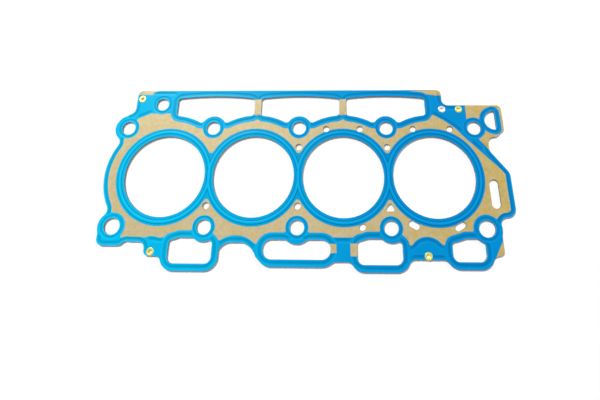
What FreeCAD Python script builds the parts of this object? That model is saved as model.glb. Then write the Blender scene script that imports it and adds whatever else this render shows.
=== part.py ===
"""Cylinder head gasket for a four-cylinder engine, made of steel sheets.

A thin upper sheet of stainless steel lies on a thicker carrier plate. A film
of elastomer covers the upper sheet along every sealing track and leaves the
rest of the steel bare. A sealing bead is embossed round each bore, and the
beads of neighbouring bores join in the narrow bridges between them. Hollow
eyelets clinch the sheets together outside the sealing tracks.

Millimetres. +X runs along the row of bores, +Y towards the side with the
three windows, +Z towards the cylinder head. The origin lies on the block
face, on the line of the bores, midway between the second and third bore.
"""
import FreeCAD
import Part
import os
from FreeCAD import Vector

# Bores and head bolts
bore_count = 4
bore_pitch = 84.0
bore_radius = 38.0
bolt_row = 46.4
bolt_radius = 6.5
dowel_radius = 7.3

# Thickness of each layer
upper_sheet = 0.25
carrier_sheet = 1.1
coat_film = 0.04

# Sealing tracks: how far the coat reaches from each edge
bore_ring = 8.0
bolt_ring = 3.9
dowel_ring = 5.0
land = 6.1
rim_track = 4.2
cusp_radius = 2.5
field_corner = 1.4
notch_radius = 1.0

# Embossed bead round each bore: middle line, counted from the bore's edge
bead_line = 4.3
bead_width = 3.0
bead_slope = 1.0
bead_height = 0.2

# Block part: steel round the bores and the head bolts
block_wall = 19.5
boss_radius = 13.2
skirt_reach = 12.9
skirt_inset = 18.0
edge_inner_radius = 6.0
edge_outer_radius = 4.5

# Windows behind the bores, between the jacket and the back rail
window_reach = 33.5
window_bow = 318.0
window_wall = 21.6
window_boss = 12.3
window_corner = 3.4
strut_shift = 0.5
strut_width = 6.5
strut_bare_start = 13.6
strut_bare_end = 3.3
strut_bare_overlap = 0.1
rail_width = 6.2

# Oil galleries in front of the bores: left, right, front and back of each,
# counted from its head bolt, with the size of its corners and of its boss
galleries_ahead = [
    (-30.2, 8.9, -30.8, -9.0, 6.0, 12.6),
    (-30.0, 30.0, -26.8, -10.2, 8.0, 14.1),
    (-30.7, 8.9, -30.6, -9.0, 6.0, 12.6),
    (-32.2, -3.2, -27.6, -8.4, 6.0, 12.6),
]
gallery_wall = 21.2
gallery_inner_corner = 4.0
gallery_outer_corner = 3.0
arch_radius = 19.5
arch_land = 5.1
arch_shift = (-12.2, -31.4)
arch_reach = 25.6
column_reach = 28.4
column_coat = (3.0, 3.3, 3.0, 8.0)
column_bare = [(5.1, -21.1, -13.6), (5.9, -23.6, -13.1)]

# Left end, counted from the bolts at the left end
tab_inset = 3.8
shoulder_reach = (4.2, 15.2)
feed_shift = (30.4, 24.8)
feed_radius = 6.1
feed_ring = 4.4
feed_bare_ring = 10.4
tab_coat = [(-4.0, 4.6), (20.2, 15.3), (43.0, 15.3)]
left_foot_reach = (12.0, 16.5)
left_foot_coat = 8.0
ear_half = 6.2
ear_reach = 3.5
ear_coat = (6.0, 3.8)
foot_rise = 7.0

# Right end, counted from the bolts at the right end
rail_inset = 28.2
pad_reach = (28.3, 23.4)
pad_drop = 8.8
pad_chamfer = (8.5, 7.5)
pad_corner = 5.0
flank_reach = (27.4, 9.8)
flank_corner = 8.5
shoulder_front = 3.0
neck = (11.7, 24.0)
right_foot_reach = (12.2, 22.6)
right_foot_coat = 3.0
fan_coat = [(-48.0, 13.1), (-38.0, 13.6), (-27.8, 7.5), (-18.0, -0.1), (-9.8, -9.4)]
flank_track = 4.6
flank_overlap = 1.0
pad_bare = [(-6.0, 7.6), (4.3, -12.4), (11.3, -21.2)]
pad_ring = 4.4
rail_bare = [(-53.0, 0.0), (-27.2, 0.0), (-27.2, -6.5)]
foot_bare = [(6.0, -20.2), (3.5, -25.1)]
dome_half = 16.0
dome_reach = 3.0

# Coolant and oil passages
drain_sides = (10.9, 21.4, -1.5, 17.3)
drain_ring = 4.8
drain_corners = (1.0, 1.6)
return_slot = (7.0, 15.3, -29.0, -2.8)
return_corner = 3.9
coolant_radius = 3.1
coolant_inner = 27.6
coolant_outer = 0.8
coolant_back = [(-15.8, 16.5), (-16.6, 18.7)]
nose_half = 5.4
nose_front = 31.9
nose_tip = 23.8
nose_corners = (1.0, 1.7)
slot_length = 10.6
slot_width = 6.0
slot_slope = 30.0
slot_shifts = [(-21.6, 2.9), (18.9, 2.0)]

# Eyelets, each counted from the nearest bolt or bore
eyelet_shank = 2.2
eyelet_hole = 1.5
eyelet_flange = 3.4
eyelet_lip = 0.3
eyelet_chamfer = 0.15
tab_eyelet = (8.8, 30.8)
pad_eyelet = (-12.6, 19.3)
rail_eyelet = (-28.7, 19.3)
ear_eyelet = (-3.5, -21.2)
dome_eyelet = (-11.4, -23.1)
dome_pad = 16.2
ear_pad = 13.3

# Places that follow from the driving dimensions
bore_x = [(i - (bore_count - 1) / 2) * bore_pitch for i in range(bore_count)]
column_x = [(i - bore_count / 2) * bore_pitch for i in range(bore_count + 1)]
left_end = column_x[0]
right_end = column_x[-1]
window_top = bolt_row + window_reach
rail_back = window_top + rail_width
skirt_front = -bolt_row - skirt_reach
stack = carrier_sheet + upper_sheet
margin = 2.0


def near(x, y, shift):
    """A place that is counted from another one."""
    return (x + shift[0], y + shift[1])


feed_centre = near(left_end, bolt_row, feed_shift)
arch_centre = near(bore_x[1], -bolt_row, arch_shift)
ear_centre = near(bore_x[0], -bolt_row, ear_eyelet)
dome_centre = near(bore_x[-1], -bolt_row, dome_eyelet)
plated_place = near(right_end, bolt_row, rail_eyelet)
brass_places = [near(left_end, bolt_row, tab_eyelet), near(right_end, bolt_row, pad_eyelet)]
brass_places += [ear_centre, dome_centre]


def disc(x, y, radius):
    """A round face."""
    circle = Part.makeCircle(radius, Vector(x, y, 0))
    return Part.Face(Part.Wire(circle))


def upward(face):
    """The face with its front side up, as joining needs."""
    if face.normalAt(0, 0).z < 0:
        face.reverse()
    return face


def polygon(points):
    """A flat face through the given corners."""
    corners = [Vector(x, y, 0) for x, y in points]
    return upward(Part.Face(Part.makePolygon(corners + corners[:1])))


def grown(face, distance):
    """The face with its whole edge moved outwards, round its corners."""
    return upward(face.makeOffset2D(distance).Faces[0])


def panel(left, right, front, back, radius=0.0):
    """A rectangle with rounded corners."""
    corners = [(left, front), (right, front), (right, back), (left, back)]
    face = polygon(corners)
    if radius > 0.0:
        face = grown(grown(face, -radius), radius)
    return face


def joined(faces):
    """One face that covers all the given ones."""
    return upward(faces[0].multiFuse(faces[1:]).removeSplitter().Faces[0])


def slab(face, bottom, thickness):
    """A flat solid that stands on the face, raised to its place."""
    solid = face.extrude(Vector(0, 0, thickness))
    solid.translate(Vector(0, 0, bottom))
    return solid


def eased(face, inner, outer):
    """The face with its inner and outer corners rounded."""
    filled = grown(grown(face, inner), -inner)
    return grown(grown(filled, -outer), outer)


def slot(x, y, turn):
    """A short slot with round ends, turned about its centre."""
    half = slot_width / 2
    reach = (slot_length - slot_width) / 2
    ends = [disc(x - reach, y, half), disc(x + reach, y, half)]
    face = joined(ends + [panel(x - reach, x + reach, y - half, y + half)])
    face.rotate(Vector(x, y, 0), Vector(0, 0, 1), turn)
    return face


def bolts():
    """Centre and hole radius of each head bolt, back row then front row."""
    holes = [(x, bolt_row, bolt_radius) for x in column_x]
    for x in column_x:
        end = x in (left_end, right_end)
        holes.append((x, -bolt_row, dowel_radius if end else bolt_radius))
    return holes


def windows():
    """The openings behind the bores, between two struts each."""
    faces = []
    for i in range(bore_count - 1):
        left = bore_x[i] + strut_shift + strut_width / 2
        right = bore_x[i + 1] + strut_shift - strut_width / 2
        bow = disc((left + right) / 2, window_top - window_bow, window_bow)
        face = panel(left, right, bolt_row, window_top).common(bow)
        blocks = [disc(x, 0, bore_radius + window_wall) for x in bore_x[i:i + 2]]
        blocks.append(disc(column_x[i + 1], bolt_row, window_boss))
        face = face.cut(blocks).Faces[0]
        faces.append(eased(face, window_corner, window_corner))
    return faces


def gallery_sides():
    """Left, right, front and back of each gallery."""
    sides = []
    for x, ahead in zip(column_x[1:], galleries_ahead):
        left, right, front, back = ahead[:4]
        sides.append((x + left, x + right, front - bolt_row, back - bolt_row))
    return sides


def galleries():
    """The openings in front of the bores, clear of the block and a boss each."""
    faces = []
    walls = [disc(x, 0, bore_radius + gallery_wall) for x in bore_x]
    for x, sides, ahead in zip(column_x[1:], gallery_sides(), galleries_ahead):
        corner, boss = ahead[4:]
        face = panel(*sides, corner).cut(walls + [disc(x, -bolt_row, boss)]).Faces[0]
        faces.append(eased(face, gallery_inner_corner, gallery_outer_corner))
    return faces


def drain():
    """The D-shaped drain in the right pad."""
    left, right, front, back = drain_sides
    radius = (back - front) / 2
    bow = disc(right_end + left + radius, bolt_row + front + radius, radius)
    flat = panel(right_end + left, right_end + right, bolt_row + front, bolt_row + back)
    return eased(bow.common(flat).Faces[0], *drain_corners)


def passages():
    """Coolant holes through the jacket, and the return slot."""
    back = bolt_row - coolant_outer
    outer = [x + shift for x, pair in zip(bore_x[-2:], coolant_back) for shift in pair]
    faces = [disc(x, back, coolant_radius) for x in outer]
    faces += [disc(column_x[i], coolant_inner, coolant_radius) for i in (2, 3)]
    faces += [disc(column_x[i], -coolant_inner, coolant_radius) for i in (1, 2)]
    faces.append(disc(outer[1], -back, coolant_radius))
    x = column_x[3]
    nose = polygon([(x - nose_half, -nose_front), (x + nose_half, -nose_front), (x, -nose_tip)])
    faces.append(eased(nose, *nose_corners))
    for shift, turn in zip(slot_shifts, (-slot_slope, slot_slope)):
        faces.append(slot(*near(bore_x[3], -bolt_row, shift), turn))
    left, right, front, rear = return_slot
    faces.append(panel(right_end + left, right_end + right, front, rear, return_corner))
    return faces


def shoulders():
    """The shapes that widen the block part at its two ends."""
    root = right_end - 2 * block_wall
    reach_x, reach_y = shoulder_reach
    parts = [panel(left_end - reach_x, bore_x[0], bolt_row - boss_radius, bolt_row + reach_y,
                   edge_inner_radius)]
    reach_x, reach_y = left_foot_reach
    parts.append(panel(left_end - reach_x, left_end + boss_radius, -bolt_row - reach_y,
                       edge_inner_radius - bolt_row, edge_inner_radius))
    reach_x, reach_y = right_foot_reach
    parts.append(panel(right_end - boss_radius - edge_inner_radius, right_end + reach_x,
                       -bolt_row - reach_y, edge_inner_radius - bolt_row, pad_corner))
    right, back = near(right_end, bolt_row, pad_reach)
    front = bolt_row - pad_drop
    pad = [(root, front), (right - pad_chamfer[0], front), (right, front + pad_chamfer[1])]
    parts.append(eased(polygon(pad + [(right, back), (root, back)]), notch_radius, pad_corner))
    right, front = near(right_end, -bolt_row, flank_reach)
    flank = [(root, front), (right, front), (right, shoulder_front)]
    flank += [(right_end + neck[0], neck[1]), (right_end + neck[0], bolt_row), (root, bolt_row)]
    parts.append(eased(polygon(flank), notch_radius, flank_corner))
    return parts


def outline():
    """The outer edge of every steel sheet."""
    rims = [grown(face, land) for face in galleries()]
    sides = gallery_sides()
    web = panel(sides[0][1], sides[1][0], -bolt_row - arch_reach, skirt_front)
    parts = [disc(bore_x[0], 0, bore_radius + block_wall)]
    parts += web.cut(disc(*arch_centre, arch_radius)).Faces
    parts.append(panel(left_end + skirt_inset, right_end - skirt_inset, skirt_front, bolt_row))
    parts.append(panel(left_end + tab_inset, right_end - rail_inset, 0, rail_back))
    parts.append(panel(ear_centre[0] - ear_half, ear_centre[0] + ear_half,
                       ear_centre[1] - ear_reach, 0))
    parts.append(panel(dome_centre[0] - dome_half, dome_centre[0] + dome_half,
                       dome_centre[1] - dome_reach, 0))
    parts.append(panel(sides[1][1], sides[2][0], -bolt_row - column_reach, 0))
    parts += shoulders() + rims + [disc(x, y, boss_radius) for x, y, radius in bolts()]
    filled = upward(Part.Face(joined(parts).OuterWire))
    return eased(filled, edge_inner_radius, edge_outer_radius)


def cut_outs():
    """Everything that passes through all the sheets, without the eyelets."""
    faces = [disc(x, 0, bore_radius) for x in bore_x]
    faces += [disc(x, y, radius) for x, y, radius in bolts()]
    faces += windows() + galleries() + [drain()] + passages()
    faces.append(disc(*feed_centre, feed_radius))
    return faces


def solid_pads():
    """The fields at the rivets, arch and feet that are coated all over."""
    faces = [disc(*arch_centre, arch_radius + arch_land), disc(*ear_centre, ear_pad)]
    faces.append(disc(*dome_centre, dome_pad))
    tab = [near(left_end, bolt_row, shift) for shift in tab_coat]
    faces.append(polygon(tab + [(tab[-1][0], rail_back), (tab[0][0], rail_back)]))
    fan = [near(right_end, bolt_row, shift) for shift in fan_coat]
    right = right_end + flank_reach[0]
    back = rail_back - rim_track
    fan += [(right - flank_track, shoulder_front), (right, shoulder_front)]
    fan += [near(right_end, 0, neck), (right_end + 2 * neck[0], back), (fan[0][0], back)]
    faces.append(polygon(fan))
    faces.append(panel(right - flank_track, right, return_slot[2],
                       shoulder_front + flank_overlap))
    sides = gallery_sides()
    left, right, front, back = column_coat
    faces.append(panel(sides[1][1] + left, sides[2][0] - right,
                       -bolt_row - column_reach - front, -bolt_row - back))
    right, rise = ear_coat
    faces.append(panel(left_end + boss_radius, bore_x[0] + right, ear_centre[1],
                       skirt_front + rise))
    faces.append(panel(left_end - left_foot_reach[0], left_end + left_foot_coat,
                       -bolt_row - left_foot_reach[1], skirt_front + foot_rise))
    faces.append(panel(right_end - right_foot_coat, right_end + right_foot_reach[0],
                       -bolt_row - right_foot_reach[1], skirt_front + foot_rise))
    return faces


def covered():
    """The rings, lands and solid pads that the coat covers."""
    bores = joined([disc(x, 0, bore_radius + bore_ring) for x in bore_x])
    faces = [grown(grown(bores, cusp_radius), -cusp_radius)]
    for x, y, radius in bolts():
        ring = dowel_ring if radius == dowel_radius else bolt_ring
        faces.append(disc(x, y, radius + ring))
    faces += [grown(face, land) for face in windows() + galleries()]
    faces.append(disc(*feed_centre, feed_radius + feed_ring))
    faces.append(grown(drain(), drain_ring))
    for x in bore_x:
        faces.append(panel(x - land, x + land, window_top - strut_bare_end, rail_back))
    return faces + solid_pads()


def bare():
    """The fields at the edges where the coat leaves the steel bare."""
    half = strut_width / 2 + strut_bare_overlap
    faces = []
    for x in bore_x[1:-1]:
        faces.append(panel(x + strut_shift - half, x + strut_shift + half,
                           bolt_row + strut_bare_start, window_top - strut_bare_end,
                           notch_radius))
    corner = panel(left_end, feed_centre[0], rail_back - rim_track, rail_back + margin)
    faces.append(corner.cut(disc(*feed_centre, feed_radius + feed_bare_ring)).Faces[0])
    faces.append(polygon([near(right_end, rail_back, shift) for shift in rail_bare]))
    sides = gallery_sides()
    width, front, back = column_bare[0]
    left = sides[1][1]
    faces.append(panel(left - margin, left + width, front - bolt_row, back - bolt_row))
    width, front, back = column_bare[1]
    right = sides[2][0]
    faces.append(panel(right - width, right + margin, front - bolt_row, back - bolt_row))
    edge = right_end + right_foot_reach[0] + margin
    foot = [near(right_end, -bolt_row, shift) for shift in foot_bare]
    faces.append(polygon([(edge, skirt_front + foot_rise)] + foot + [(edge, foot[-1][1])]))
    pad = [near(right_end, bolt_row, shift) for shift in pad_bare]
    right = right_end + pad_reach[0] + margin
    back = bolt_row + pad_reach[1] + margin
    field = polygon([(pad[0][0], back)] + pad + [(right, pad[-1][1]), (right, back)])
    keep = [disc(right_end, bolt_row, bolt_radius + pad_ring), grown(drain(), drain_ring)]
    return faces + field.cut(keep).Faces


def bead(x, bottom, thickness):
    """The embossed bead of one bore, up to the middle of each bridge."""
    inner = bore_radius + bead_line - bead_width / 2
    outer = inner + bead_width
    ridge = [(inner, 0.0), (inner + bead_slope, bead_height)]
    ridge += [(outer - bead_slope, bead_height), (outer, 0.0)]
    under = [Vector(radius, 0, bottom + rise) for radius, rise in ridge]
    over = [Vector(radius, 0, bottom + thickness + rise) for radius, rise in ridge]
    corners = under + over[::-1]
    face = Part.Face(Part.makePolygon(corners + corners[:1]))
    ring = face.revolve(Vector(0, 0, 0), Vector(0, 0, 1), 360)
    ring.translate(Vector(x, 0, 0))
    field = panel(x - bore_pitch / 2, x + bore_pitch / 2, -bore_pitch, bore_pitch)
    return ring.common(slab(field, bottom - margin, 2 * margin + thickness))


def embossed(layer, bottom, thickness):
    """A flat layer with its sealing beads pressed up."""
    middle = bore_radius + bead_line
    tracks = []
    for x in bore_x:
        track = disc(x, 0, middle + bead_width / 2).cut(disc(x, 0, middle - bead_width / 2))
        field = panel(x - bore_pitch / 2, x + bore_pitch / 2, -bore_pitch, bore_pitch)
        tracks += [slab(face, bottom, thickness) for face in track.common(field).Faces]
    beads = [bead(x, bottom, thickness) for x in bore_x]
    return layer.cut(tracks).multiFuse(beads).removeSplitter()


def inner_field(edge):
    """The bare field between the tracks, with its outward corners rounded."""
    inside = slab(grown(edge, -rim_track), 0, coat_film)
    field = inside.cut([slab(face, 0, coat_film) for face in covered()]).removeSplitter()
    under = min(field.Faces, key=lambda face: face.CenterOfMass.z)
    return grown(grown(under, -field_corner), field_corner)


def coat(edge, holes):
    """The film of elastomer on the upper sheet."""
    away = holes + bare() + [inner_field(edge)]
    film = slab(edge, 0, coat_film).cut([slab(face, 0, coat_film) for face in away])
    film.translate(Vector(0, 0, stack))
    return embossed(film, stack, coat_film).Solids


def eyelet_holes():
    """Where the shanks of the eyelets pass through the sheets."""
    return [disc(x, y, eyelet_shank) for x, y in brass_places + [plated_place]]


def eyelet(x, y):
    """A hollow rivet, rolled over above and below the sheets."""
    low = -eyelet_lip
    seat = stack + coat_film
    high = seat + eyelet_lip
    profile = [(eyelet_hole, low), (eyelet_flange, low), (eyelet_flange, 0), (eyelet_shank, 0)]
    profile += [(eyelet_shank, seat), (eyelet_flange, seat), (eyelet_flange, high - eyelet_chamfer)]
    profile += [(eyelet_flange - eyelet_chamfer, high), (eyelet_hole, high)]
    corners = [Vector(radius, 0, z) for radius, z in profile]
    face = Part.Face(Part.makePolygon(corners + corners[:1]))
    solid = face.revolve(Vector(0, 0, 0), Vector(0, 0, 1), 360)
    solid.translate(Vector(x, y, 0))
    return solid


def write(name, solids):
    """One file for each sub-part."""
    shape = solids[0] if len(solids) == 1 else Part.makeCompound(solids)
    shape.exportStep(os.path.join("parts", name + ".step"))


def main():
    os.makedirs("parts", exist_ok=True)
    edge = outline()
    holes = cut_outs() + eyelet_holes()
    plan = edge.cut(holes).Faces[0]
    write("carrier_sheet", [slab(plan, 0, carrier_sheet)])
    sheet = slab(plan, carrier_sheet, upper_sheet)
    write("upper_sheet", embossed(sheet, carrier_sheet, upper_sheet).Solids)
    write("upper_coat", coat(edge, holes))
    write("brass_eyelets", [eyelet(x, y) for x, y in brass_places])
    write("plated_eyelet", [eyelet(*plated_place)])


main()
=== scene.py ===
"""Dresses the cylinder head gasket and sets it up as a plain product picture.

The frame gives the plan of the sheets and of the printed film. The scene
embosses the sealing beads into the upper sheet and its film, prints the film
of the block side, turns the clinched eyelets and gives each piece its finish.
"""
from __future__ import annotations

import logging
import math
from dataclasses import dataclass, field
from enum import Enum

import bmesh
import bpy
import numpy as np
from mathutils import Euler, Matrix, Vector
from mathutils.bvhtree import BVHTree
from mathutils.geometry import delaunay_2d_cdt

import sys

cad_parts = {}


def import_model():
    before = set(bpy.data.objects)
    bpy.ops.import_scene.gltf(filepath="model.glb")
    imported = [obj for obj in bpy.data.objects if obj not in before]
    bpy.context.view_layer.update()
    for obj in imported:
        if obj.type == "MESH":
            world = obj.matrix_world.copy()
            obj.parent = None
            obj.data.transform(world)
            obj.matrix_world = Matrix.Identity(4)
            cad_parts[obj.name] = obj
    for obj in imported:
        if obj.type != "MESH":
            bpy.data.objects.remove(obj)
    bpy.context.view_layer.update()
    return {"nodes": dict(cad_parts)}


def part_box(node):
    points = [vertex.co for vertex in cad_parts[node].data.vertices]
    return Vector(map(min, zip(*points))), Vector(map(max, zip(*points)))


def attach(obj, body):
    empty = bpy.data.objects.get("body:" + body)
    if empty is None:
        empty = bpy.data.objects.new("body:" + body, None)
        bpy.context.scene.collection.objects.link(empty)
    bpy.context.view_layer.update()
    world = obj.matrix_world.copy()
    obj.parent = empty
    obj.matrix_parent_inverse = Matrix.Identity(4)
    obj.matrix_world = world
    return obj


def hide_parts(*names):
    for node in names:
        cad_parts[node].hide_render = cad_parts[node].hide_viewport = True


LOG = logging.getLogger("head_gasket")

MM = 0.001
BODY = "root"
# Point attribute that carries the painted highlight and painted shade of the beads; the finishes add it to
# their colour.
SHADE = "film_shade"
PRESSED = "pressed_depth"
SHARP = 0.7
# How fast the painted shade at a bead's feet fades away from the foot line.
FOOT_FADE = 2.2
Point = tuple[float, float]
Loop = list[Point]
Run = tuple[np.ndarray, bool]


class Side(Enum):
    """Which face of the gasket a film is printed on."""

    HEAD = 1
    BLOCK = -1


def linear(red: float, green: float, blue: float) -> tuple[float, float, float, float]:
    """Turns a colour of 0 to 255 per channel into the renderer's linear one."""
    return tuple(((c / 255 + 0.055) / 1.055) ** 2.4 for c in (red, green, blue)) + (1.0,)


def add_node(tree: bpy.types.NodeTree, kind: str, **values: object) -> bpy.types.Node:
    """Adds a node and sets its properties, and its inputs where they are named in_<position>.

    Args:
        tree: The node tree that takes the node.
        kind: The node's type name.
        **values: Properties by name, and values of inputs as in_0, in_1 and so on.

    Returns:
        The new node.
    """
    node = tree.nodes.new(kind)
    for name, value in values.items():
        if name.startswith("in_"):
            node.inputs[int(name[3:])].default_value = value
        else:
            setattr(node, name, value)
    return node


def add_sockets(tree: bpy.types.NodeTree, inputs: dict[str, str],
                outputs: dict[str, str]) -> tuple[bpy.types.Node, bpy.types.Node]:
    """Gives a node group its sockets.

    Args:
        tree: The group's tree.
        inputs: The kind of each input by its name, such as Float or Color.
        outputs: The same for the outputs.

    Returns:
        The node that hands out the inputs and the one that takes the outputs.
    """
    for way, sockets in (("INPUT", inputs), ("OUTPUT", outputs)):
        for name, kind in sockets.items():
            tree.interface.new_socket(name, in_out=way, socket_type="NodeSocket" + kind)
    return add_node(tree, "NodeGroupInput"), add_node(tree, "NodeGroupOutput")


def calc(tree: bpy.types.NodeTree, operation: str, *values: bpy.types.NodeSocket | float,
         clamp: bool = False) -> bpy.types.NodeSocket:
    """Adds a math node over sockets and plain numbers.

    Args:
        tree: The tree that takes the node.
        operation: What the node works out.
        *values: Its inputs in order.
        clamp: Whether the result is held between 0 and 1.

    Returns:
        The socket with the result.
    """
    node = add_node(tree, "ShaderNodeMath", operation=operation, use_clamp=clamp)
    for socket, value in zip(node.inputs, values):
        if isinstance(value, bpy.types.NodeSocket):
            tree.links.new(value, socket)
        else:
            socket.default_value = value
    return node.outputs[0]


def soften(mesh: bpy.types.Mesh, turn_out: bool = False) -> None:
    """Shades a mesh smooth except over its sharp edges.

    Args:
        mesh: The mesh that changes.
        turn_out: Whether its faces are first turned to the outside.
    """
    work = bmesh.new()
    work.from_mesh(mesh)
    if turn_out:
        bmesh.ops.recalc_face_normals(work, faces=work.faces)
    for face in work.faces:
        face.smooth = True
    for edge in work.edges:
        edge.smooth = edge.calc_face_angle(math.pi) < SHARP
    work.to_mesh(mesh)
    work.free()


# Plan geometry, in millimetres


def flat_levels(node: bpy.types.Object) -> tuple[float, float]:
    """The heights of the two flat faces that most of a node's points lie on."""
    heights = [round(v.co.z / MM, 3) for v in node.data.vertices]
    common = sorted(set(heights), key=heights.count)[-2:]
    return min(common), max(common)


def top_loops(node: bpy.types.Object) -> list[Loop]:
    """Reads the closed edges of a flat node's upper face.

    Args:
        node: A node of the frame whose upper face is mostly flat.

    Returns:
        Each edge as a list of points, the longest first.
    """
    mesh = node.data
    top = flat_levels(node)[1]
    keys = [(round(v.co.x / MM, 4), round(v.co.y / MM, 4), abs(v.co.z / MM - top) < 0.002)
            for v in mesh.vertices]
    follows: dict[Point, list[Point]] = {}
    edges: dict[tuple[Point, Point], int] = {}
    for polygon in mesh.polygons:
        corners = [keys[i] for i in polygon.vertices]
        if all(c[2] for c in corners):
            flat = [c[:2] for c in corners]
            for a, b in zip(flat, flat[1:] + flat[:1]):
                edges[(a, b)] = edges.get((a, b), 0) + 1
    for a, b in edges:
        if (b, a) not in edges:
            follows.setdefault(a, []).append(b)
    loops: list[Loop] = []
    while follows:
        start = next(iter(follows))
        loop = [start]
        here = follows[start].pop()
        if not follows[start]:
            del follows[start]
        while here != start:
            loop.append(here)
            step = follows[here].pop()
            if not follows[here]:
                del follows[here]
            here = step
        loops.append(loop)
    return sorted(loops, key=length_of, reverse=True)


def length_of(loop: Loop) -> float:
    """The length of a closed loop."""
    points = np.array(loop)
    return float(np.hypot(*(np.roll(points, -1, 0) - points).T).sum())


def resampled(loop: Loop, step: float, closed: bool = True) -> np.ndarray:
    """Spreads points evenly along a line and softens its corners a little.

    Args:
        loop: The line's own points.
        step: The distance wanted between points, in millimetres.
        closed: Whether the line returns to its start.

    Returns:
        The new points, one row each.
    """
    points = np.array(loop, float)
    if closed:
        points = np.vstack([points, points[:1]])
    spans = np.hypot(*np.diff(points, axis=0).T)
    along = np.r_[0, np.cumsum(spans)]
    count = max(8, int(along[-1] / step))
    marks = np.linspace(0, along[-1], count, endpoint=not closed)
    even = np.c_[np.interp(marks, along, points[:, 0]), np.interp(marks, along, points[:, 1])]
    for _ in range(2):
        soft = even.copy()
        if closed:
            soft = (np.roll(even, 1, 0) + 2 * even + np.roll(even, -1, 0)) / 4
        else:
            soft[1:-1] = (even[:-2] + 2 * even[1:-1] + even[2:]) / 4
        even = soft
    return even


def shifted(points: np.ndarray, distance: float, closed: bool = True) -> np.ndarray:
    """Moves a line sideways, to the right of its own direction."""
    if closed:
        ahead = np.roll(points, -1, 0) - np.roll(points, 1, 0)
    else:
        ahead = np.gradient(points, axis=0)
    ahead /= np.maximum(np.hypot(*ahead.T), 1e-9)[:, None]
    return points + distance * np.c_[ahead[:, 1], -ahead[:, 0]]


def ring(centre: Point, radius: float, step: float) -> np.ndarray:
    """A circle of evenly spread points, against the clock."""
    count = max(16, int(2 * math.pi * radius / step))
    turn = np.linspace(0, 2 * math.pi, count, endpoint=False)
    return np.c_[centre[0] + radius * np.cos(turn), centre[1] + radius * np.sin(turn)]


def middle_of(loop: Loop) -> Point:
    """The middle of a loop's box."""
    points = np.array(loop)
    low, high = points.min(0), points.max(0)
    return (float(low[0] + high[0]) / 2, float(low[1] + high[1]) / 2)


def lies_over(tree: BVHTree, x: float, y: float) -> bool:
    """Whether a place in the plan is over a node, also where it meets an edge of its mesh."""
    down = Vector((0.0, 0.0, -1.0))
    nudges = ((0.0, 0.0), (0.003, 0.001), (-0.002, 0.003))
    return any(tree.ray_cast(Vector(((x + a) * MM, (y + b) * MM, 0.01)), down)[0] is not None
               for a, b in nudges)


def width_of(loop: Loop) -> Point:
    """The width and height of a loop's box."""
    points = np.array(loop)
    return tuple(float(v) for v in points.max(0) - points.min(0))


def kept_runs(points: np.ndarray, keep: list[bool], closed: bool, fewest: int) -> list[Run]:
    """Splits a line into the stretches whose points are kept.

    Args:
        points: The line.
        keep: Whether each point is kept.
        closed: Whether the line returns to its start.
        fewest: The number of points below which a stretch is dropped.

    Returns:
        The stretches that are left, each with whether it is still closed.
    """
    if all(keep):
        return [(points, closed)]
    start = keep.index(False)
    order = list(range(len(points)))
    if closed:
        order = order[start:] + order[:start]
    runs: list[Run] = []
    run: list[int] = []
    for i in order + [start]:
        if keep[i]:
            run.append(i)
        else:
            if len(run) >= fewest:
                runs.append((points[run], False))
            run = []
    return runs


def runs_outside(points: np.ndarray, zones: list[tuple[Point, float]], walls: np.ndarray | None = None,
                 gap: float = 0.0) -> list[Run]:
    """Cuts a closed line where it enters a round zone or comes too near a wall.

    Args:
        points: The closed line.
        zones: Centre and radius of each zone to keep out of.
        walls: Points of edges to stay clear of.
        gap: The clearance from those points.

    Returns:
        The stretches that are left, each with whether it is still closed.
    """
    keep = np.ones(len(points), bool)
    for centre, radius in zones:
        keep &= np.hypot(*(points - np.array(centre)).T) > radius
    if walls is not None:
        for i, point in enumerate(points):
            if keep[i] and np.hypot(*(walls - point).T).min() < gap:
                keep[i] = False
    return kept_runs(points, keep.tolist(), True, 6)


# Finishes


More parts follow.
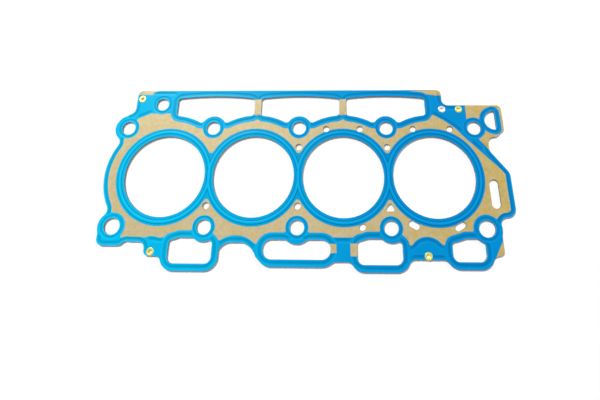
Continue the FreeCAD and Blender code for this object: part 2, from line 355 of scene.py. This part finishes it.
def painted_falloff_and_tone_group() -> bpy.types.NodeTree:
    """A colour whose turn from the left colour to the right one along the part is painted light falloff; it
    clouds slightly from place to place, is paler and fuller in blotches and takes the painted shade of the
    beads.
    """
    tree = bpy.data.node_groups.new("painted_falloff_and_tone", "ShaderNodeTree")
    inlet, outlet = add_sockets(tree, {
        "Left": "Color", "Right": "Color", "Start": "Float", "End": "Float", "Cloud": "Float",
        "Scale": "Float", "Shade": "Float", "Mottle": "Float"}, {"Color": "Color"})
    link = tree.links.new
    place = add_node(tree, "ShaderNodeTexCoord")
    axis = add_node(tree, "ShaderNodeSeparateXYZ")
    # Painted light falloff: along x the colour turns from the lighter left one into the darker right one.
    along = add_node(tree, "ShaderNodeMapRange", interpolation_type="SMOOTHSTEP")
    blend = add_node(tree, "ShaderNodeMix", data_type="RGBA")
    link(place.outputs["Object"], axis.inputs[0])
    link(axis.outputs["X"], along.inputs[0])
    link(inlet.outputs["Start"], along.inputs[1])
    link(inlet.outputs["End"], along.inputs[2])
    link(along.outputs[0], blend.inputs["Factor"])
    link(inlet.outputs["Left"], blend.inputs["A"])
    link(inlet.outputs["Right"], blend.inputs["B"])
    clouds = add_node(tree, "ShaderNodeTexNoise")
    clouds.inputs["Detail"].default_value = 4.0
    link(place.outputs["Object"], clouds.inputs["Vector"])
    link(inlet.outputs["Scale"], clouds.inputs["Scale"])
    cloud = calc(tree, "MULTIPLY", calc(tree, "SUBTRACT", clouds.outputs[0], 0.5), inlet.outputs["Cloud"])
    # The cloud plus the painted highlight and shade of the beads.
    with_painted_shade = calc(tree, "ADD", cloud, inlet.outputs["Shade"])
    blotch = add_node(tree, "ShaderNodeTexNoise")
    blotch.inputs["Scale"].default_value = 260.0
    blotch.inputs["Detail"].default_value = 2.0
    link(place.outputs["Object"], blotch.inputs["Vector"])
    pale = calc(tree, "SUBTRACT", blotch.outputs[0], 0.5)
    shade = add_node(tree, "ShaderNodeHueSaturation")
    link(calc(tree, "MULTIPLY_ADD", pale, inlet.outputs["Mottle"], 1.0), shade.inputs["Saturation"])
    link(calc(tree, "ADD", with_painted_shade, 1.0), shade.inputs["Value"])
    link(blend.outputs["Result"], shade.inputs["Color"])
    link(shade.outputs[0], outlet.inputs[0])
    return tree


def grain_group() -> bpy.types.NodeTree:
    """A fine bump of the surface, stretched along the rolling direction."""
    tree = bpy.data.node_groups.new("surface_grain", "ShaderNodeTree")
    inlet, outlet = add_sockets(tree, {"Scale": "Float", "Stretch": "Float", "Height": "Float"},
                                {"Normal": "Vector", "Fac": "Float"})
    place = add_node(tree, "ShaderNodeTexCoord")
    size = add_node(tree, "ShaderNodeCombineXYZ", in_1=1.0, in_2=1.0)
    drawn = add_node(tree, "ShaderNodeVectorMath", operation="MULTIPLY")
    noise = add_node(tree, "ShaderNodeTexNoise")
    noise.inputs["Detail"].default_value = 5.0
    noise.inputs["Roughness"].default_value = 0.6
    bump = add_node(tree, "ShaderNodeBump")
    bump.inputs["Distance"].default_value = 0.00002
    link = tree.links.new
    link(place.outputs["Object"], drawn.inputs[0])
    link(inlet.outputs["Stretch"], size.inputs[0])
    link(size.outputs[0], drawn.inputs[1])
    link(drawn.outputs[0], noise.inputs["Vector"])
    link(inlet.outputs["Scale"], noise.inputs["Scale"])
    link(noise.outputs[0], bump.inputs["Height"])
    link(inlet.outputs["Height"], bump.inputs["Strength"])
    link(bump.outputs[0], outlet.inputs["Normal"])
    link(noise.outputs[0], outlet.inputs["Fac"])
    return tree


@dataclass(frozen=True)
class Finish:
    """A surface: its colours at the two ends, its gloss and its grain.

    The drift is where, in metres along the part, the left colour starts to
    turn into the right one and where it ends; this turn is painted light
    falloff, lighter at the left end and darker towards the right. The cloud
    darkens and lightens the colour in patches, and the mottle makes it paler
    and fuller.
    """

    name: str
    slot: str
    left: tuple[float, float, float]
    right: tuple[float, float, float]
    metallic: float
    roughness: tuple[float, float]
    cloud: float
    cloud_scale: float
    grain_scale: float
    grain_height: float
    grain_stretch: float = 1.0
    specular: float = 0.5
    mottle: float = 0.0
    drift: tuple[float, float] = (-0.18, 0.19)

    def material(self) -> bpy.types.Material:
        """Builds the finish as a procedural material, once.

        Returns:
            The material that pieces share.
        """
        found = bpy.data.materials.get(self.name)
        if found:
            return found
        material = bpy.data.materials.new(self.name)
        material.use_nodes = True
        tree = material.node_tree
        shader = tree.nodes["Principled BSDF"]
        drift = add_node(tree, "ShaderNodeGroup")
        drift.node_tree = bpy.data.node_groups.get("painted_falloff_and_tone") or painted_falloff_and_tone_group()
        drift.inputs["Left"].default_value = linear(*self.left)
        drift.inputs["Right"].default_value = linear(*self.right)
        drift.inputs["Start"].default_value, drift.inputs["End"].default_value = self.drift
        drift.inputs["Cloud"].default_value = self.cloud
        drift.inputs["Scale"].default_value = self.cloud_scale
        drift.inputs["Mottle"].default_value = self.mottle
        # Painted highlight and shade of the beads, read from the point attribute.
        with_painted_shade = add_node(tree, "ShaderNodeAttribute", attribute_name=SHADE)
        tree.links.new(with_painted_shade.outputs["Fac"], drift.inputs["Shade"])
        grain = add_node(tree, "ShaderNodeGroup")
        grain.node_tree = bpy.data.node_groups.get("surface_grain") or grain_group()
        grain.inputs["Scale"].default_value = self.grain_scale
        grain.inputs["Stretch"].default_value = self.grain_stretch
        grain.inputs["Height"].default_value = self.grain_height
        gloss = add_node(tree, "ShaderNodeMapRange", in_3=self.roughness[0], in_4=self.roughness[1])
        tree.links.new(drift.outputs[0], shader.inputs["Base Color"])
        tree.links.new(grain.outputs["Normal"], shader.inputs["Normal"])
        tree.links.new(grain.outputs["Fac"], gloss.inputs[0])
        tree.links.new(gloss.outputs[0], shader.inputs["Roughness"])
        shader.inputs["Metallic"].default_value = self.metallic
        shader.inputs["Specular IOR Level"].default_value = self.specular
        return material

    def dress(self, piece: bpy.types.Object) -> None:
        """Gives a piece this finish on all its faces."""
        piece.data.materials.clear()
        piece.data.materials.append(self.material())


# Where a finish's left and right colours differ, they paint the light falling off from the left end to the
# right; the blue also turns deeper.
FILM = Finish(
    "blue_elastomer", "elastomer_coat", left=(0, 200, 250), right=(0, 149, 221), metallic=0.0,
    roughness=(0.34, 0.46), cloud=0.16, cloud_scale=90.0, grain_scale=2200.0, grain_height=0.25,
    specular=0.06, drift=(-0.19, 0.15))
BARE = Finish(
    "straw_stainless", "bare_steel", left=(201, 183, 138), right=(201, 177, 112), metallic=0.2,
    roughness=(0.5, 0.66), cloud=0.36, cloud_scale=420.0, grain_scale=1500.0, grain_height=0.5,
    grain_stretch=0.35, specular=0.22, mottle=0.8, drift=(0.0, 0.2))
# Carrier steel, its colour darkened so that the walls of the holes paint the dark shade inside them.
PLATE = Finish(
    "shade_darkened_carrier_steel", "carrier_steel", left=(104, 100, 94), right=(104, 100, 94), metallic=0.8,
    roughness=(0.35, 0.5), cloud=0.08, cloud_scale=80.0, grain_scale=1500.0, grain_height=0.4,
    grain_stretch=0.2)
BRASS = Finish(
    "pale_brass", "eyelet_brass", left=(224, 214, 122), right=(222, 214, 104), metallic=0.75,
    roughness=(0.25, 0.38), cloud=0.06, cloud_scale=300.0, grain_scale=2500.0, grain_height=0.2)
WHITE_PLATING = Finish(
    "white_plating", "eyelet_plated", left=(228, 228, 224), right=(228, 228, 224), metallic=0.6,
    roughness=(0.25, 0.36), cloud=0.05, cloud_scale=300.0, grain_scale=2500.0, grain_height=0.2)


# Geometry Nodes trees


def emboss_tree() -> bpy.types.NodeTree:
    """Presses a flat-topped bead into a piece along given lines, and paints highlight and shade onto its
    crest and its feet.
    """
    tree = bpy.data.node_groups.new("emboss_bead", "GeometryNodeTree")
    inlet, outlet = add_sockets(tree, {
        "Geometry": "Geometry", "Bead lines": "Object", "Half width": "Float", "Crest": "Float",
        "Height": "Float", "Deepest": "Float", "Crest shade": "Float", "Foot shade": "Float",
        "Finish": "Material"}, {"Geometry": "Geometry"})
    link = tree.links.new
    given = inlet.outputs
    lines = add_node(tree, "GeometryNodeObjectInfo")
    place = add_node(tree, "GeometryNodeInputPosition")
    flat = add_node(tree, "ShaderNodeVectorMath", operation="MULTIPLY", in_1=(1.0, 1.0, 0.0))
    near = add_node(tree, "GeometryNodeProximity", target_element="EDGES")
    link(given["Bead lines"], lines.inputs["Object"])
    link(lines.outputs["Geometry"], near.inputs[0])
    link(place.outputs[0], flat.inputs[0])
    link(flat.outputs[0], near.inputs["Sample Position"])
    away = near.outputs["Distance"]

    slope = calc(tree, "SUBTRACT", given["Half width"], given["Crest"])
    part = calc(tree, "DIVIDE", calc(tree, "SUBTRACT", away, given["Crest"]), slope, clamp=True)
    wave = calc(tree, "COSINE", calc(tree, "MULTIPLY", part, math.pi))
    lift = calc(tree, "MULTIPLY_ADD", wave, 0.5, 0.5)
    done = stored(tree, PRESSED)
    summed = calc(tree, "ADD", calc(tree, "MULTIPLY", lift, given["Height"]), done)
    depth = calc(tree, "MAXIMUM", summed, given["Deepest"])
    move = add_node(tree, "ShaderNodeCombineXYZ")
    press = add_node(tree, "GeometryNodeSetPosition")
    link(calc(tree, "SUBTRACT", depth, done), move.inputs["Z"])
    link(given[0], press.inputs["Geometry"])
    link(move.outputs[0], press.inputs["Offset"])
    pressed = store(tree, PRESSED, press.outputs[0], depth)

    # Painted highlight and shade: the crest and the feet of the bead get a brightness that the finish adds to
    # its colour, lighter above zero and darker below.
    off = calc(tree, "SUBTRACT", calc(tree, "DIVIDE", away, given["Half width"]), 1.0)
    foot = calc(tree, "MULTIPLY_ADD", calc(tree, "ABSOLUTE", off), -FOOT_FADE, 1.0, clamp=True)
    light = calc(tree, "MULTIPLY", lift, given["Crest shade"])
    shade = calc(tree, "MULTIPLY_ADD", foot, given["Foot shade"], light)
    shaded = store(tree, SHADE, pressed, calc(tree, "ADD", shade, stored(tree, SHADE)))
    link(painted(tree, shaded, given["Finish"]), outlet.inputs[0])
    return tree


def stored(tree: bpy.types.NodeTree, name: str) -> bpy.types.NodeSocket:
    """The value that an earlier bead left at each point."""
    node = add_node(tree, "GeometryNodeInputNamedAttribute", data_type="FLOAT")
    node.inputs["Name"].default_value = name
    return node.outputs["Attribute"]


def store(tree: bpy.types.NodeTree, name: str, shape: bpy.types.NodeSocket,
          value: bpy.types.NodeSocket) -> bpy.types.NodeSocket:
    """Leaves a value at each point of the shape, and returns the shape."""
    node = add_node(tree, "GeometryNodeStoreNamedAttribute", data_type="FLOAT", domain="POINT")
    node.inputs["Name"].default_value = name
    tree.links.new(shape, node.inputs["Geometry"])
    tree.links.new(value, node.inputs["Value"])
    return node.outputs[0]


def painted(tree: bpy.types.NodeTree, shape: bpy.types.NodeSocket,
            finish: bpy.types.NodeSocket) -> bpy.types.NodeSocket:
    """Makes the shape's copies real and gives them the finish."""
    real = add_node(tree, "GeometryNodeRealizeInstances")
    paint = add_node(tree, "GeometryNodeSetMaterial")
    tree.links.new(shape, real.inputs[0])
    tree.links.new(real.outputs[0], paint.inputs["Geometry"])
    tree.links.new(finish, paint.inputs["Material"])
    return paint.outputs[0]


def scatter_tree() -> bpy.types.NodeTree:
    """Sets a copy of one object at each point of a mesh."""
    tree = bpy.data.node_groups.new("clinch_eyelets", "GeometryNodeTree")
    inlet, outlet = add_sockets(tree, {"Geometry": "Geometry", "Eyelet": "Object", "Finish": "Material"},
                                {"Geometry": "Geometry"})
    link = tree.links.new
    one = add_node(tree, "GeometryNodeObjectInfo")
    copies = add_node(tree, "GeometryNodeInstanceOnPoints")
    link(inlet.outputs["Eyelet"], one.inputs["Object"])
    link(inlet.outputs[0], copies.inputs["Points"])
    link(one.outputs["Geometry"], copies.inputs["Instance"])
    link(painted(tree, copies.outputs[0], inlet.outputs["Finish"]), outlet.inputs[0])
    return tree


def group_of(name: str) -> bpy.types.NodeTree:
    """The named Geometry Nodes tree, built on first use."""
    makers = {"emboss_bead": emboss_tree, "clinch_eyelets": scatter_tree}
    return bpy.data.node_groups.get(name) or makers[name]()


def apply_tree(piece: bpy.types.Object, name: str, values: dict[str, object]) -> None:
    """Runs a tree on a piece and keeps the result as its plain mesh.

    Args:
        piece: The object whose mesh is worked on.
        name: The tree's name.
        values: The tree's inputs by name.
    """
    tree = group_of(name)
    modifier = piece.modifiers.new(name, "NODES")
    modifier.node_group = tree
    for item in tree.interface.items_tree:
        if item.item_type == "SOCKET" and item.in_out == "INPUT" and item.name in values:
            modifier[item.identifier] = values[item.name]
    graph = bpy.context.evaluated_depsgraph_get()
    graph.update()
    mesh = bpy.data.meshes.new_from_object(piece.evaluated_get(graph))
    piece.modifiers.remove(modifier)
    piece.data = mesh


def add_object(name: str, mesh: bpy.types.Mesh) -> bpy.types.Object:
    """Puts a mesh into the scene as an object at the origin."""
    piece = bpy.data.objects.new(name, mesh)
    bpy.context.scene.collection.objects.link(piece)
    return piece


@dataclass
class BeadFamily:
    """Beads of one kind: the lines they follow, the form of their section, and the painted highlight and
    shade at their crest and feet.
    """

    name: str
    half_width: float
    crest: float
    height: float
    # Painted brightness added at the crest and at the feet: above zero a painted highlight, below zero
    # painted shade.
    crest_shade: float
    foot_shade: float
    lines: list[Run] = field(default_factory=list)

    def strips(self) -> list[Run]:
        """The lines beside each bead line that its rounded section needs."""
        slope = self.half_width - self.crest
        marks = [self.crest + slope * part for part in (0.0, 0.35, 0.65, 1.0)]
        marks.append(self.half_width * 1.4)
        return [(shifted(points, side * mark, closed), closed)
                for points, closed in self.lines for mark in marks for side in (-1, 1)]

    def guide(self) -> bpy.types.Object:
        """The lines as a mesh of edges at height zero, for the emboss tree."""
        verts: list[tuple[float, float, float]] = []
        edges: list[tuple[int, int]] = []
        for points, closed in self.lines:
            first = len(verts)
            verts += [(x * MM, y * MM, 0.0) for x, y in points]
            edges += [(i, i + 1) for i in range(first, len(verts) - 1)]
            if closed:
                edges.append((len(verts) - 1, first))
        mesh = bpy.data.meshes.new(self.name)
        mesh.from_pydata(verts, edges, [])
        return add_object(self.name, mesh)


@dataclass
class BeadLayout:
    """Where the sealing beads run, worked out from the sheet's own edges."""

    sheet: list[Loop]
    film: list[Loop]
    film_tree: BVHTree
    step: float = 1.6
    bore_line: float = 4.3
    window_line: float = 3.2
    gallery_line: float = 2.75
    rim_line: float = 2.6
    drain_line: float = 2.5
    bolt_line: float = 2.2
    field_line: float = 2.4
    line_gap: float = 4.4
    ring_gap: float = 2.6
    rim_gap: float = 8.2
    roundness: float = 0.15
    bore_width: float = 60.0
    bolt_width: float = 11.0
    opening_width: float = 25.0
    drain_size: Point = (10.0, 17.0)
    drain_zone: float = 13.0
    field_length: float = 900.0

    def families(self) -> list[BeadFamily]:
        """Sorts the edges of the sheet and gives each kind its bead lines.

        Returns:
            The raised beads of the bores, the grooves of the lands and those
            of the bolt rings.
        """
        # Painted light and shade: bore crests lighter with darker feet, groove bottoms darker with lighter
        # feet.
        bores = BeadFamily("bore_beads", half_width=1.6, crest=0.45, height=0.2, crest_shade=0.2,
                           foot_shade=-0.5)
        lands = BeadFamily("land_grooves", half_width=2.1, crest=0.3, height=-0.24, crest_shade=-0.24,
                           foot_shade=0.16)
        rings = BeadFamily("ring_grooves", half_width=1.6, crest=0.2, height=-0.22, crest_shade=-0.22,
                           foot_shade=0.16)
        rim, holes = self.sheet[0], self.sheet[1:]
        zones: list[tuple[Point, float]] = []
        openings: list[Loop] = []
        for loop in holes:
            wide, deep = width_of(loop)
            round_hole = abs(wide - deep) < self.roundness
            if round_hole and wide > self.bore_width:
                bores.lines.append((ring(middle_of(loop), wide / 2 + self.bore_line, self.step), True))
            elif round_hole and wide > self.bolt_width:
                rings.lines.append((ring(middle_of(loop), wide / 2 + self.bolt_line, self.step), True))
                zones.append((middle_of(loop), wide / 2 + self.bolt_line + self.ring_gap))
            elif wide > self.opening_width:
                openings.append(loop)
            elif wide > self.drain_size[0] and deep > self.drain_size[1]:
                line = shifted(resampled(loop, self.step), -self.drain_line)
                rings.lines.append((line, True))
                zones.append((middle_of(loop), self.drain_zone))
        for loop in openings:
            line = self.window_line if middle_of(loop)[1] > 0 else self.gallery_line
            path = shifted(resampled(loop, self.step), -line)
            lands.lines += runs_outside(path, zones)
        walls = np.vstack([np.array(resampled(loop, 1.0)) for loop in openings])
        path = shifted(resampled(rim, self.step), -self.rim_line)
        lands.lines += runs_outside(path, zones, walls, self.rim_gap)
        drawn = [points for family in (bores, lands, rings) for points, closed in family.lines]
        for loop in self.film[1:]:
            if length_of(loop) > self.field_length:
                path = shifted(resampled(loop, self.step), -self.field_line)
                lands.lines += runs_outside(path, zones, np.vstack(drawn), self.line_gap)
        lands.lines = [run for line in lands.lines for run in self.on_film(line)]
        return [bores, lands, rings]

    def on_film(self, line: Run) -> list[Run]:
        """Cuts a line where it leaves the film, because bare steel keeps no groove.

        Args:
            line: The points, and whether the line is closed.

        Returns:
            The stretches over the film.
        """
        points, closed = line
        return kept_runs(points, [lies_over(self.film_tree, x, y) for x, y in points], closed, 5)


@dataclass
class Plan:
    """The plan of the sheet cut into triangles that follow every bead."""

    sheet_node: bpy.types.Object
    coat_node: bpy.types.Object
    verts: list[Vector] = field(default_factory=list)
    faces: list[tuple[int, int, int]] = field(default_factory=list)
    coated: list[bool] = field(default_factory=list)
    edge_gap: float = 0.15
    ridge_gap: float = 2.0
    merge: float = 0.004
    least_area: float = 1e-5

    def cut(self, families: list[BeadFamily]) -> None:
        """Triangulates the plan with the edges of sheet, film and beads in it.

        Args:
            families: The beads whose strips the triangles have to follow.
        """
        points: list[Vector] = []
        edges: list[tuple[int, int]] = []

        def put(line: np.ndarray, closed: bool) -> None:
            """Adds one line to the input of the triangulation."""
            first = len(points)
            points.extend(Vector((float(x), float(y))) for x, y in line)
            edges.extend((i, i + 1) for i in range(first, len(points) - 1))
            if closed:
                edges.append((len(points) - 1, first))

        sheet = top_loops(self.sheet_node)
        for loop in sheet:
            put(np.array(loop), True)
        rims = np.vstack([densely(loop) for loop in sheet])
        ridges = np.vstack([line for line, closed in families[0].lines])
        for loop in top_loops(self.coat_node):
            free = [np.hypot(*(rims - np.array(p)).T).min() > self.edge_gap
                    and np.hypot(*(ridges - np.array(p)).T).min() > self.ridge_gap for p in loop]
            for i, point in enumerate(loop):
                after = (i + 1) % len(loop)
                if free[i] or free[after]:
                    put(np.array([point, loop[after]]), False)
        for family in families:
            for line, closed in family.strips():
                put(line, closed)
        result = delaunay_2d_cdt(points, edges, [], 0, self.merge)
        self.verts = result[0]
        sheet_tree = self.top_tree(self.sheet_node)
        coat_tree = self.top_tree(self.coat_node)
        for face in result[2]:
            a, b, c = (self.verts[i] for i in face)
            turn = (b - a).cross(c - a)
            if abs(turn) < self.least_area:
                continue
            middle = (a + b + c) / 3
            if not lies_over(sheet_tree, middle.x, middle.y):
                continue
            self.faces.append(tuple(face) if turn > 0 else tuple(reversed(face)))
            self.coated.append(lies_over(coat_tree, middle.x, middle.y))
        LOG.info("plan of %d triangles, %d coated", len(self.faces), sum(self.coated))

    @staticmethod
    def top_tree(node: bpy.types.Object) -> BVHTree:
        """A search tree over a node's faces."""
        mesh = node.data
        return BVHTree.FromPolygons([v.co for v in mesh.vertices], [tuple(p.vertices) for p in mesh.polygons])

    def slab(self, name: str, low: float, high: float, only_coated: bool) -> bpy.types.Object:
        """A closed flat piece over the plan or over its coated part.

        Args:
            name: The piece's name.
            low: Height of its under face, in millimetres.
            high: Height of its upper face, in millimetres.
            only_coated: Whether it covers only the film's tracks.

        Returns:
            The new object.
        """
        faces = [f for f, c in zip(self.faces, self.coated) if c or not only_coated]
        used = sorted({i for f in faces for i in f})
        number = {old: new for new, old in enumerate(used)}
        faces = [tuple(number[i] for i in f) for f in faces]
        count = len(used)
        verts = [(self.verts[i].x * MM, self.verts[i].y * MM, high * MM) for i in used]
        verts += [(x, y, low * MM) for x, y, z in verts]
        sides = {(f[k], f[(k + 1) % 3]) for f in faces for k in range(3)}
        walls = [(b, a, a + count, b + count) for a, b in sides if (b, a) not in sides]
        floor = [tuple(i + count for i in reversed(f)) for f in faces]
        mesh = bpy.data.meshes.new(name)
        mesh.from_pydata(verts, [], faces + floor + walls)
        mesh.update()
        soften(mesh)
        return add_object(name, mesh)


def densely(loop: Loop) -> np.ndarray:
    """Points along a loop, close enough to measure distances from."""
    points = np.array(loop + loop[:1])
    out = []
    for a, b in zip(points[:-1], points[1:]):
        count = max(2, int(np.hypot(*(b - a)) / 0.2))
        out.append(a + (b - a) * np.linspace(0, 1, count, endpoint=False)[:, None])
    return np.vstack(out)


@dataclass
class SheetPack:
    """The sheets of the gasket with the film on both faces."""

    nodes: dict[str, bpy.types.Object]
    film: float = 0.04
    block_share: float = 0.55
    deepest: float = 0.25

    def build(self) -> list[bpy.types.Object]:
        """Makes the embossed sheet and both films, and dresses the plate.

        Returns:
            The new pieces.
        """
        low, high = flat_levels(self.nodes["upper_sheet"])
        coat = self.nodes["upper_coat"]
        carrier = self.nodes["carrier_sheet"]
        families = BeadLayout(top_loops(carrier), top_loops(coat), Plan.top_tree(coat)).families()
        plan = Plan(carrier, coat)
        plan.cut(families)
        guides = [family.guide() for family in families]
        sheet = plan.slab("embossed_sheet", low, high, False)
        head_film = plan.slab("head_side_film", high, high + self.film, True)
        block_film = plan.slab("block_side_film", -self.film, 0.0, True)
        for piece, finish, side in ((sheet, BARE, Side.HEAD), (head_film, FILM, Side.HEAD),
                                    (block_film, FILM, Side.BLOCK)):
            for family, guide in zip(families, guides):
                height = family.height
                if side is Side.BLOCK:
                    height = -abs(height) * self.block_share
                apply_tree(piece, "emboss_bead", {
                    "Bead lines": guide, "Half width": family.half_width * MM,
                    "Crest": family.crest * MM, "Height": height * MM,
                    "Deepest": -self.deepest * MM,
                    "Crest shade": family.crest_shade, "Foot shade": family.foot_shade,
                    "Finish": finish.material()})
            finish.dress(piece)
            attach(piece, BODY)
        for guide in guides:
            bpy.data.objects.remove(guide)
        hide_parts("upper_sheet")
        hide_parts("upper_coat")
        PLATE.dress(carrier)
        return [sheet, head_film, block_film]


@dataclass
class Eyelets:
    """The clinched eyelets of one plating."""

    node: bpy.types.Object
    name: str
    finish: Finish
    segments: int = 48
    hole: float = 1.5
    shank: float = 2.2
    flange: float = 3.4
    lip: float = 0.3
    roll: float = 0.6
    bevel: float = 0.15
    bevel_rise: Point = (0.1, 0.12)
    apart: float = 10.0

    def places(self) -> list[Point]:
        """The centre of each eyelet, from the node's own vertices."""
        groups: list[list[Vector]] = []
        for vertex in self.node.data.vertices:
            home = next((g for g in groups if (g[0].xy - vertex.co.xy).length < self.apart * MM), None)
            if home is None:
                groups.append([vertex.co])
            else:
                home.append(vertex.co)
        return [((min(v.x for v in g) + max(v.x for v in g)) / 2,
                 (min(v.y for v in g) + max(v.y for v in g)) / 2) for g in groups]

    def section(self) -> list[Point]:
        """Radius and height round the section of one eyelet, in millimetres."""
        low, high = (corner.z / MM for corner in map(Vector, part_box(self.node.name)))
        inner, outer = self.bevel_rise
        section = [(self.hole, low + inner), (self.hole + self.bevel, low),
                   (self.flange - self.bevel, low), (self.flange, low + outer),
                   (self.flange, low + self.lip), (self.shank, low + self.lip),
                   (self.shank, high - self.lip), (self.flange, high - self.lip)]
        middle = (self.flange - self.lip, high - self.lip)
        for k in range(6):
            turn = math.pi / 2 * k / 5
            section.append((middle[0] + self.lip * math.cos(turn), middle[1] + self.lip * math.sin(turn)))
        middle = (self.hole + self.roll, high - self.roll)
        for k in range(5):
            turn = math.pi / 2 * k / 4
            section.append((middle[0] - self.roll * math.sin(turn), middle[1] + self.roll * math.cos(turn)))
        return section

    def lathe(self) -> bpy.types.Object:
        """One eyelet, turned about the origin."""
        section = self.section()
        count = len(section)
        verts = []
        for k in range(self.segments):
            turn = 2 * math.pi * k / self.segments
            verts += [(r * MM * math.cos(turn), r * MM * math.sin(turn), z * MM) for r, z in section]
        faces = []
        for k in range(self.segments):
            here, there = k * count, (k + 1) % self.segments * count
            for i in range(count):
                j = (i + 1) % count
                faces.append((here + i, there + i, there + j, here + j))
        mesh = bpy.data.meshes.new(self.name + "_section")
        mesh.from_pydata(verts, [], faces)
        soften(mesh, turn_out=True)
        return add_object(self.name + "_section", mesh)

    def build(self) -> bpy.types.Object:
        """Sets an eyelet in each place.

        Returns:
            All the eyelets of this plating as one piece.
        """
        one = self.lathe()
        mesh = bpy.data.meshes.new(self.name)
        mesh.from_pydata([(x, y, 0.0) for x, y in self.places()], [], [])
        piece = add_object(self.name, mesh)
        apply_tree(piece, "clinch_eyelets", {"Eyelet": one, "Finish": self.finish.material()})
        bpy.data.objects.remove(one)
        self.finish.dress(piece)
        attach(piece, BODY)
        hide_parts(self.node.name)
        return piece


@dataclass(frozen=True)
class Lamp:
    """A square lamp: its place and width in metres and its power in watts."""

    name: str
    place: tuple[float, float, float]
    size: float
    power: float

    def build(self) -> None:
        """Hangs the lamp so that it points at the part."""
        data = bpy.data.lights.new(self.name, "AREA")
        data.shape = "SQUARE"
        data.size = self.size
        data.energy = self.power
        lamp = bpy.data.objects.new(self.name, data)
        lamp.location = self.place
        lamp.rotation_euler = (-Vector(self.place)).to_track_quat("-Z", "Y").to_euler()
        bpy.context.scene.collection.objects.link(lamp)


LAMPS = (Lamp("left_box", (-5.2, 7.9, 10.4), 1.8, 1900.0), Lamp("right_box", (8.6, 7.0, 5.7), 3.0, 300.0))


@dataclass
class Studio:
    """Floor, light and camera of the product picture."""

    floor_height: float = -0.32
    floor_reach: float = 3.0
    floor_level: float = 0.97
    floor_glow: float = 0.17
    sky_light: float = 0.08
    lens: float = 18.0
    camera_place: tuple[float, float, float] = (25.02, -40.48, 279.56)
    camera_turn: tuple[float, float, float] = (15.091, 1.272, 0.361)
    shift: tuple[float, float] = (-0.03, -0.1)

    @staticmethod
    def backdrop_level(tree: bpy.types.NodeTree, plain: float, seen: float) -> bpy.types.NodeSocket:
        """A strength that is one value for the light and another for what is seen.

        Args:
            tree: The material's or world's node tree.
            plain: The strength that lights the part.
            seen: The strength for camera, glossy and transmission rays.

        Returns:
            The socket that carries the strength.
        """
        rays = add_node(tree, "ShaderNodeLightPath")
        direct = calc(tree, "MAXIMUM", rays.outputs["Is Camera Ray"], rays.outputs["Is Glossy Ray"])
        level = add_node(tree, "ShaderNodeMapRange", in_3=plain, in_4=seen)
        tree.links.new(calc(tree, "MAXIMUM", direct, rays.outputs["Is Transmission Ray"]), level.inputs[0])
        return level.outputs[0]

    def floor(self) -> None:
        """A pale floor that the camera sees as white and that keeps the shadow."""
        mesh = bpy.data.meshes.new("floor")
        reach, z = self.floor_reach, self.floor_height * MM
        mesh.from_pydata([(-reach, -reach, z), (reach, -reach, z), (reach, reach, z), (-reach, reach, z)],
                         [], [(0, 1, 2, 3)])
        floor = add_object("floor", mesh)
        material = bpy.data.materials.new("studio_floor")
        material.use_nodes = True
        tree = material.node_tree
        shader = tree.nodes["Principled BSDF"]
        shader.inputs["Base Color"].default_value = (*[self.floor_level] * 3, 1.0)
        shader.inputs["Roughness"].default_value = 0.9
        shader.inputs["Specular IOR Level"].default_value = 0.0
        shader.inputs["Emission Color"].default_value = (1.0, 1.0, 1.0, 1.0)
        tree.links.new(self.backdrop_level(tree, 0.0, self.floor_glow), shader.inputs["Emission Strength"])
        mesh.materials.append(material)

    def build(self) -> None:
        """Sets up floor, world, lamps and camera."""
        self.floor()
        world = bpy.data.worlds.new("studio")
        world.use_nodes = True
        sky = world.node_tree.nodes["Background"]
        sky.inputs["Color"].default_value = (1.0, 1.0, 1.0, 1.0)
        level = self.backdrop_level(world.node_tree, self.sky_light, 1.0)
        world.node_tree.links.new(level, sky.inputs["Strength"])
        bpy.context.scene.world = world
        for lamp in LAMPS:
            lamp.build()
        data = bpy.data.cameras.new("camera")
        data.sensor_width = 36.0
        data.lens = self.lens
        data.shift_x, data.shift_y = self.shift
        data.clip_start = 0.01
        camera = bpy.data.objects.new("camera", data)
        camera.location = Vector(self.camera_place) * MM
        camera.rotation_euler = Euler([math.radians(a) for a in self.camera_turn])
        bpy.context.scene.collection.objects.link(camera)
        bpy.context.scene.camera = camera
        bpy.context.scene.view_settings.view_transform = "Standard"


def main() -> None:
    """Builds the pieces in order, logs their face counts and sets up the studio."""
    logging.basicConfig(level=logging.INFO, stream=sys.stdout)
    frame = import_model()
    nodes = frame["nodes"]
    pieces = SheetPack(nodes).build()
    pieces.append(Eyelets(nodes["brass_eyelets"], "brass_clinches", BRASS).build())
    pieces.append(Eyelets(nodes["plated_eyelet"], "plated_clinch", WHITE_PLATING).build())
    for piece in pieces:
        LOG.info("%s: %d faces", piece.name, len(piece.data.polygons))
    Studio().build()


if __name__ == "__main__":
    main()
